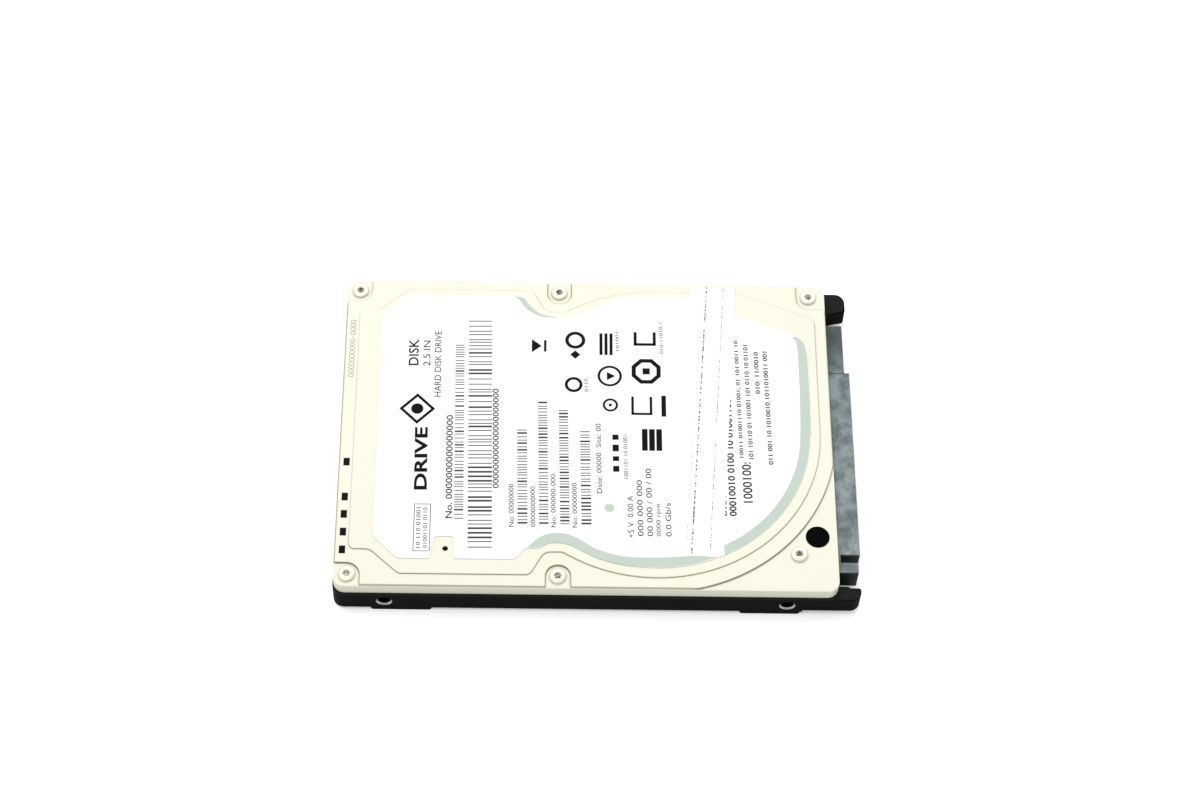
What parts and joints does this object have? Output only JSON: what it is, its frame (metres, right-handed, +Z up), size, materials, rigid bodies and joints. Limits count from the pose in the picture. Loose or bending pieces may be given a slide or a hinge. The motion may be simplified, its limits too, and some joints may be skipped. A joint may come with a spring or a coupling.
{
  "type": "hard disk drive",
  "caption": "Laptop-size magnetic hard disk drive with a sealed spindle and actuator, a serial ATA connector and tapped mounting holes.",
  "frame": {"origin": "under the middle of the case, at the bottom of its bounding box", "axes": "+X along the length towards the connector end, +Y across the case, +Z up to the label"},
  "size_m": [0.1004, 0.0698, 0.0095],
  "materials": {
    "cast_black": "black coated die casting, satin",
    "cover_coat": "pale satin coated sheet",
    "screw_steel": "zinc plated, satin",
    "label_film": "printed film label, satin",
    "seal_film": "white film strip, matte",
    "port_film": "black foil seal, matte",
    "gasket_foam": "foam rubber, matte",
    "filter_felt": "white filter felt",
    "board_green": "green solder mask on glass laminate",
    "insulator_film": "dark insulating film",
    "chip_epoxy": "black moulded epoxy",
    "passive_ceramic": "brown ceramic chips",
    "crystal_can": "drawn metal can",
    "connector_plastic": "black glass-filled nylon",
    "contact_gold": "gold plated",
    "motor_core": "stacked electrical steel",
    "copper_wire": "enamelled copper wire",
    "bearing_bronze": "turned bronze",
    "turned_steel": "turned stainless steel",
    "magnet_nickel": "nickel plated magnet",
    "yoke_nickel": "nickel plated steel",
    "disc_mirror": "sputtered mirror finish",
    "turned_aluminium": "turned aluminium",
    "slider_ceramic": "dark ceramic",
    "mould_plastic": "pale moulded plastic",
    "stop_rubber": "black elastomer",
    "flex_polyimide": "amber polyimide film"
  },
  "bodies": {
    "housing": {"base_casting": "cast_black", "top_cover": "cover_coat", "cover_screws": "screw_steel", "board_screws": "screw_steel", "yoke_screws": "screw_steel", "ramp_screw": "screw_steel", "bracket_screws": "screw_steel", "product_label": "label_film", "tamper_seal": "seal_film", "port_seal": "port_film", "cover_gasket": "gasket_foam", "breather_filter": "filter_felt", "recirculation_filter": "filter_felt", "circuit_board": "board_green", "board_insulator": "insulator_film", "controller_chip": "chip_epoxy", "memory_chip": "chip_epoxy", "motor_driver_chip": "chip_epoxy", "flash_chip": "chip_epoxy", "board_passives": "passive_ceramic", "clock_crystal": "crystal_can", "shock_sensors": "crystal_can", "sata_connector": "connector_plastic", "jumper_header": "connector_plastic", "head_connector": "connector_plastic", "sata_contacts": "contact_gold", "jumper_pins": "contact_gold", "motor_contacts": "contact_gold", "stator_core": "motor_core", "stator_coils": "copper_wire", "bearing_sleeve": "bearing_bronze", "thrust_plate": "turned_steel", "pivot_shaft": "turned_steel", "latch_pin": "turned_steel", "lower_magnet": "magnet_nickel", "upper_magnet": "magnet_nickel", "lower_yoke": "yoke_nickel", "upper_yoke": "yoke_nickel", "yoke_posts": "yoke_nickel", "load_ramp": "mould_plastic", "flex_bracket": "mould_plastic", "crash_stops": "stop_rubber", "flex_cable": "flex_polyimide"},
    "spindle": {"spindle_hub": "turned_aluminium", "spindle_shaft": "turned_steel", "rotor_magnet": "magnet_nickel", "lower_platter": "disc_mirror", "platter_spacer": "turned_aluminium", "upper_platter": "disc_mirror", "disc_clamp": "turned_aluminium", "clamp_screws": "turned_steel"},
    "actuator": {"actuator_arm": "turned_aluminium", "pivot_sleeve": "turned_steel", "voice_coil": "copper_wire", "coil_overmould": "mould_plastic", "head_suspensions": "turned_steel", "head_sliders": "slider_ceramic", "preamp_chip": "chip_epoxy"},
    "latch": {"actuator_latch": "mould_plastic"}
  },
  "joints": [
    {"name": "spindle_spin", "type": "hinge", "parent": "housing", "child": "spindle", "pos_m": [0.011, 0, 0], "axis": [0, 0, 1], "continuous": true},
    {"name": "actuator_swing", "type": "hinge", "parent": "housing", "child": "actuator", "pos_m": [-0.025, 0.012, 0], "axis": [0, 0, 1], "range_deg": [0, 37.4], "deforming": ["flex_cable"]},
    {"name": "latch_swing", "type": "hinge", "parent": "housing", "child": "latch", "pos_m": [-0.04525, 0.0206, 0], "axis": [0, 0, 1], "range_deg": [-6, 0]}
  ]
}
